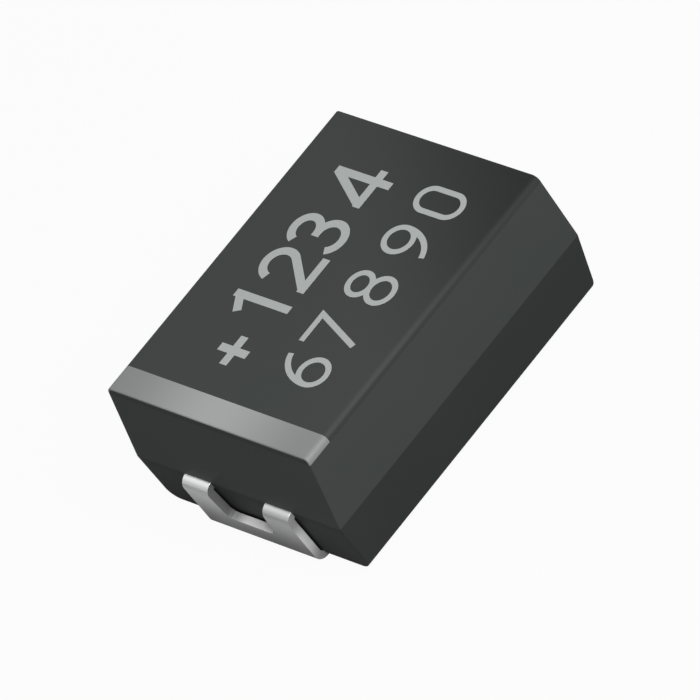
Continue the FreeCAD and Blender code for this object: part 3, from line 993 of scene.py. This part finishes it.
def epoxy_material(case):
    """Dark moulding compound: cool patches and fine grain, with painted shade on the lower half.

    Painted shade darkens the top towards its far right corner. Along the top edges runs a thin
    painted highlight with a thin band of painted shade below it.
    """
    material, tree, principled = new_material("moulded_epoxy", Specular_IOR_Level=EPOXY_SPECULAR)
    height = object_axis(tree, "Z")
    patches = place_group(tree, patches_group, First_colour=rgba(case.colour),
                          Second_colour=rgba(case.cool_colour), Patch_size=EPOXY_PATCH)
    parting = case.parting_height
    # Painted shade: below the parting line the colour is darkened.
    upper = ramp(tree, height, parting - PARTING_BLUR, parting + PARTING_BLUR)
    lower_half_painted_tone = mix_colours(tree, upper, grey(case.lower_half_painted_shade), WHITE)
    # Painted shade on the top, growing towards its far right corner.
    corner = calculate(tree, "SUBTRACT", object_axis(tree, "X"), object_axis(tree, "Y"))
    on_top = calculate(tree, "MULTIPLY", ramp(tree, corner, *FAR_SPAN),
                       ramp(tree, height, *TOP_SPAN))
    far_corner_painted_fade = mix_colours(tree, on_top, WHITE, grey(case.far_corner_painted_shade))
    # Painted highlight along the top edges, with painted shade just below it.
    rim = node(tree, "ShaderNodeMapRange", Value=height, From_Min=CASE_HIGH.z - RIM_DEPTH,
               From_Max=CASE_HIGH.z)
    rim_painted_lines = node(tree, "ShaderNodeValToRGB", Fac=rim.outputs["Result"])
    for element in rim_painted_lines.color_ramp.elements:
        element.color = rgba(WHITE)
    for place, shade in RIM_PAINTED_LIGHTS:
        rim_painted_lines.color_ramp.elements.new(place).color = rgba(grey(shade))
    fill(principled, Base_Color=multiply_colours(
        tree, patches.outputs["Color"], lower_half_painted_tone, far_corner_painted_fade, rim_painted_lines.outputs["Color"]))
    add_grain(tree, principled, case.roughness, *EPOXY_GRAIN)
    return material


def band_material(band):
    """Silver-grey layer with a fine speckle; a painted sheen brightens the middle of its length."""
    material, tree, principled = new_material("band_mark", Specular_IOR_Level=BAND_SPECULAR)
    # Painted sheen: lighter in the middle, greyer towards the sides.
    distance = calculate(tree, "ABSOLUTE", object_axis(tree, "Y"))
    fill(principled, Base_Color=mix_colours(tree, ramp(tree, distance, 0.0, BAND_REACH),
                                            band.middle_painted_sheen, band.edge_colour))
    add_grain(tree, principled, BAND_ROUGHNESS, *MARK_GRAIN)
    return material


def marking_material(marking):
    """Light grey marking with a fine speckle."""
    material, tree, principled = new_material("marking", Specular_IOR_Level=MARK_SPECULAR)
    grain = add_grain(tree, principled, MARK_ROUGHNESS, *MARK_GRAIN)
    dark = [MARK_SPECKLE * value for value in marking.colour]
    fill(principled, Base_Color=mix_colours(tree, grain, dark, marking.colour))
    return material


def tin_material(terminal):
    """Tin-plated sheet: satin, with matt cut edges, a painted highlight on the upper bend's crest,
    and painted shade below the crest, towards the foot and on the right leg.

    The mesh attribute "sheared" is one on the cut edges. They carry a painted highlight half way
    down a leg and painted shade beside the cut-out, whose floor has a painted highlight that grows
    from its left end to its right end.
    """
    material, tree, principled = new_material("tinned_sheet")
    height, across = object_axis(tree, "Z"), object_axis(tree, "Y")
    # Painted shade towards the foot, then painted shade below the crest and a painted highlight on
    # it.
    tone = mix_colours(tree, ramp(tree, height, *LOW_SHADE_SPAN), terminal.low_painted_shade, terminal.colour)
    tone = mix_colours(tree, ramp(tree, height, *BEND_SPAN), tone, terminal.bend_painted_shade)
    tone = mix_colours(tree, ramp(tree, height, *CREST_SPAN), tone, terminal.crest_painted_highlight)
    # Painted shade: the right leg is darker than the left.
    side = mix_colours(tree, ramp(tree, across, *SIDE_SPAN), grey(terminal.right_leg_painted_shade), WHITE)
    tone = multiply_colours(tree, tone, side)
    # Painted highlight half way down the cut edges, and painted shade beside the cut-out.
    edge = mix_colours(tree, ramp(tree, height, *EDGE_SPAN), terminal.edge_painted_highlight,
                       terminal.edge_colour)
    edge = mix_colours(tree, ramp(tree, height, *FOOT_SPAN), terminal.edge_colour, edge)
    # Painted highlight on the cut-out's floor, growing towards its right end.
    floor = mix_colours(tree, ramp(tree, across, *FLOOR_SPAN), WHITE, terminal.low_painted_shade)
    for half_width, inner in ((CUT_HALF_WIDTH, terminal.inner_edge_painted_shade),
                              (FLOOR_HALF_WIDTH, floor)):
        within = calculate(tree, "COMPARE", across, 0.0, half_width)
        edge = mix_colours(tree, within, edge, inner)
    sheared = node(tree, "ShaderNodeAttribute", attribute_name="sheared").outputs["Fac"]
    fill(principled, Metallic=calculate(tree, "SUBTRACT", 1.0, sheared),
         Base_Color=mix_colours(tree, sheared, tone, edge))
    add_grain(tree, principled, terminal.roughness, *TIN_GRAIN)
    return material


def inner_material(name, first, second, patch, grain, relief, roughness, metal):
    """Finish of a hidden piece: two tones in patches, over its own grain."""
    material, tree, principled = new_material(name, Metallic=metal)
    patches = place_group(tree, patches_group, First_colour=rgba(first),
                          Second_colour=rgba(second), Patch_size=patch * MM)
    fill(principled, Base_Color=patches.outputs["Color"])
    add_grain(tree, principled, roughness, grain * MM, relief * MM, INNER_SPREAD)
    return material


# Stage

# Each lamp's place, side and power
LAMPS = {
    "key_lamp": ((-0.0085, -0.0470, 0.0575), 0.045, 0.046),
    "edge_lamp": ((0.030, -0.050, 0.055), 0.020, 0.006),
}
CAMERA_AIM = Vector((-0.1213, 0.0700, 1.3122)) * MM

# The nearest thing that the camera draws, in shares of its distance
CLIP_SHARE = 0.1


def light_path_share(tree, camera, mirrored):
    """Share of plain white for a ray: one value for the camera's, one for reflected ones."""
    path = node(tree, "ShaderNodeLightPath").outputs
    seen = calculate(tree, "MULTIPLY", path["Is Camera Ray"], camera)
    reflected = calculate(tree, "MAXIMUM", path["Is Glossy Ray"], path["Is Transmission Ray"])
    return calculate(tree, "MULTIPLY_ADD", reflected, mirrored, seen)


def show_white(tree, white_share, lit, white, output):
    """Mix a shader with plain white and put it out."""
    blend = node(tree, "ShaderNodeMixShader", white_share, lit.outputs[0], white.outputs[0])
    node(tree, output, Surface=blend.outputs[0])


def floor_material(stage):
    """Pale floor: the camera sees white with the part's soft shadow in it."""
    material = bpy.data.materials.new("floor")
    material.use_nodes = True
    tree = material.node_tree
    tree.nodes.clear()
    show_white(tree, light_path_share(tree, stage.floor_white, 0.0),
               node(tree, "ShaderNodeBsdfDiffuse", Color=rgba(stage.floor_colour)),
               node(tree, "ShaderNodeEmission", Strength=1.0), "ShaderNodeOutputMaterial")
    return material


def set_world(stage):
    """White for the camera, and a dim even surround for the part."""
    world = bpy.data.worlds.new("studio")
    bpy.context.scene.world = world
    world.use_nodes = True
    tree = world.node_tree
    tree.nodes.clear()
    surround, white = (node(tree, "ShaderNodeBackground", Color=rgba(WHITE), Strength=strength)
                       for strength in (stage.surround, 1.0))
    show_white(tree, light_path_share(tree, 1.0, stage.mirrored_white), surround, white,
               "ShaderNodeOutputWorld")


def hang_lamp(name, place, size, power):
    """Square soft lamp that faces the part."""
    data = bpy.data.lights.new(name, "AREA")
    data.size = size
    data.energy = power
    lamp = bpy.data.objects.new(name, data)
    lamp.location = place
    lamp.rotation_euler = (-Vector(place)).to_track_quat("-Z", "Y").to_euler()
    bpy.context.scene.collection.objects.link(lamp)


def set_camera(stage):
    """Camera on a sphere round the part, turned about its own line of sight."""
    round_cos, round_sin = math.cos(stage.azimuth), math.sin(stage.azimuth)
    flat, rise = math.cos(stage.elevation), math.sin(stage.elevation)
    back = Vector((round_sin * flat, -round_cos * flat, rise))
    level = Vector((round_cos, round_sin, 0.0))
    upright = back.cross(level)
    right = level * math.cos(stage.roll) + upright * math.sin(stage.roll)
    data = bpy.data.cameras.new("camera")
    data.lens = stage.lens
    data.clip_start = stage.distance * CLIP_SHARE
    camera = bpy.data.objects.new("camera", data)
    turn = Matrix((right, back.cross(right), back)).transposed()
    camera.matrix_world = Matrix.Translation(CAMERA_AIM + back * stage.distance) @ turn.to_4x4()
    bpy.context.scene.collection.objects.link(camera)
    bpy.context.scene.camera = camera


# Operators

class CAPACITOR_OT_case(bpy.types.Operator):
    """Mould the case round its terminals"""

    bl_idname = "capacitor.case"
    bl_label = "Mould the case"

    def execute(self, context):
        scene = context.scene
        form = CaseForm(scene.capacitor_case, scene.capacitor_band)
        piece = make_piece("moulded_case", mould_case(form), epoxy_material(scene.capacitor_case),
                           replaced="case")
        keep_flats_flat(piece)
        return {"FINISHED"}


class CAPACITOR_OT_band(bpy.types.Operator):
    """Mark the band over the anode end of the top"""

    bl_idname = "capacitor.band"
    bl_label = "Mark the band"

    def execute(self, context):
        scene = context.scene
        form = CaseForm(scene.capacitor_case, scene.capacitor_band)
        piece = make_piece("anode_band", mark_band(form), band_material(scene.capacitor_band),
                           replaced="polarity_band")
        keep_flats_flat(piece)
        return {"FINISHED"}


class CAPACITOR_OT_marking(bpy.types.Operator):
    """Mark the plus sign and two rows of plain numbers"""

    bl_idname = "capacitor.marking"
    bl_label = "Mark the numbers"

    def execute(self, context):
        marking = context.scene.capacitor_marking
        material = marking_material(marking)
        rows = {
            "plus_sign": lay_mark(plus, PLUS_SIZE, marking.large_stroke, PLUS_PLACE, marking),
            "first_row": lay_row(FIRST_ROW, marking.large_height, marking.large_stroke,
                                 FIRST_BASE, marking),
            "second_row": lay_row(SECOND_ROW, marking.small_height, marking.small_stroke,
                                  SECOND_BASE, marking),
        }
        for name, shape in rows.items():
            make_piece(name, shape, material)
        return {"FINISHED"}


class CAPACITOR_OT_terminals(bpy.types.Operator):
    """Fold both terminals from their flat patterns"""

    bl_idname = "capacitor.terminals"
    bl_label = "Fold the terminals"

    def execute(self, context):
        scene = context.scene
        case, terminal = scene.capacitor_case, scene.capacitor_terminals
        material = tin_material(terminal)
        for name, shape, replaced in (
                ("forked_terminal", fold_anode(case, terminal), "anode_terminal"),
                ("plain_terminal", fold_cathode(case, terminal), "cathode_terminal")):
            piece = make_piece(name, shape, material, replaced=replaced,
                               sheared=sheared_faces(*shape))
            bevel = piece.modifiers.new("edge break", "BEVEL")
            bevel.width = terminal.edge_break
            bevel.segments = EDGE_SEGMENTS
            bevel.limit_method = "ANGLE"
            bevel.angle_limit = SHEARED_ANGLE
            keep_flats_flat(piece)
        return {"FINISHED"}


class CAPACITOR_OT_inside(bpy.types.Operator):
    """Finish the anode block, its layers and its wire"""

    bl_idname = "capacitor.inside"
    bl_label = "Finish the inside"

    def execute(self, context):
        for name, finish in INNER_FINISHES.items():
            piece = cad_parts[name]
            piece.material_slots[0].material = inner_material(*finish)
        return {"FINISHED"}


class CAPACITOR_OT_stage(bpy.types.Operator):
    """Lay the floor, hang the lamps and set the camera"""

    bl_idname = "capacitor.stage"
    bl_label = "Set the stage"

    def execute(self, context):
        stage = context.scene.capacitor_stage
        half = stage.floor_size / 2
        mesh = bpy.data.meshes.new("floor")
        mesh.from_pydata([(-half, -half, 0), (half, -half, 0), (half, half, 0), (-half, half, 0)],
                         [], [(0, 1, 2, 3)])
        mesh.materials.append(floor_material(stage))
        floor = bpy.data.objects.new("floor", mesh)
        context.scene.collection.objects.link(floor)
        set_world(stage)
        for name, (place, size, power) in LAMPS.items():
            hang_lamp(name, place, size, power)
        set_camera(stage)
        return {"FINISHED"}


class CAPACITOR_PT_panel(bpy.types.Panel):
    """Sizes, colours and steps of the capacitor"""

    bl_label = "Capacitor"
    bl_idname = "CAPACITOR_PT_panel"
    bl_space_type = "VIEW_3D"
    bl_region_type = "UI"
    bl_category = "Capacitor"

    def draw(self, context):
        for name, (kind, label, operators) in SETTINGS.items():
            box = self.layout.box()
            box.label(text=label)
            settings = getattr(context.scene, name)
            for prop in kind.__annotations__:
                box.prop(settings, prop)
            for operator in operators:
                box.operator(operator.bl_idname)


SETTINGS = {
    "capacitor_stage": (StageSettings, "Stage", (CAPACITOR_OT_stage,)),
    "capacitor_case": (CaseSettings, "Case", (CAPACITOR_OT_case,)),
    "capacitor_band": (BandSettings, "Band", (CAPACITOR_OT_band,)),
    "capacitor_marking": (MarkingSettings, "Marking", (CAPACITOR_OT_marking,)),
    "capacitor_terminals": (TerminalSettings, "Terminals",
                            (CAPACITOR_OT_terminals, CAPACITOR_OT_inside)),
}
CLASSES = [kind for kind, label, operators in SETTINGS.values()] + [
    operator for kind, label, operators in SETTINGS.values() for operator in operators
] + [CAPACITOR_PT_panel]


def register():
    """Add the classes, and their settings on the scene."""
    for kind in CLASSES:
        bpy.utils.register_class(kind)
    for name, (kind, label, operators) in SETTINGS.items():
        setattr(bpy.types.Scene, name, PointerProperty(type=kind))


def unregister():
    """Take the settings and the classes away again."""
    for name in SETTINGS:
        delattr(bpy.types.Scene, name)
    for kind in reversed(CLASSES):
        bpy.utils.unregister_class(kind)


def corners(box):
    """A box as plain lists of numbers."""
    return [list(corner) for corner in box]


def main():
    """Build every piece and the stage."""
    register()
    bpy.context.scene.view_settings.view_transform = "Standard"
    bpy.ops.capacitor.stage()
    bpy.ops.capacitor.case()
    bpy.ops.capacitor.band()
    bpy.ops.capacitor.marking()
    bpy.ops.capacitor.terminals()
    bpy.ops.capacitor.inside()


if __name__ == "__main__":
    main()
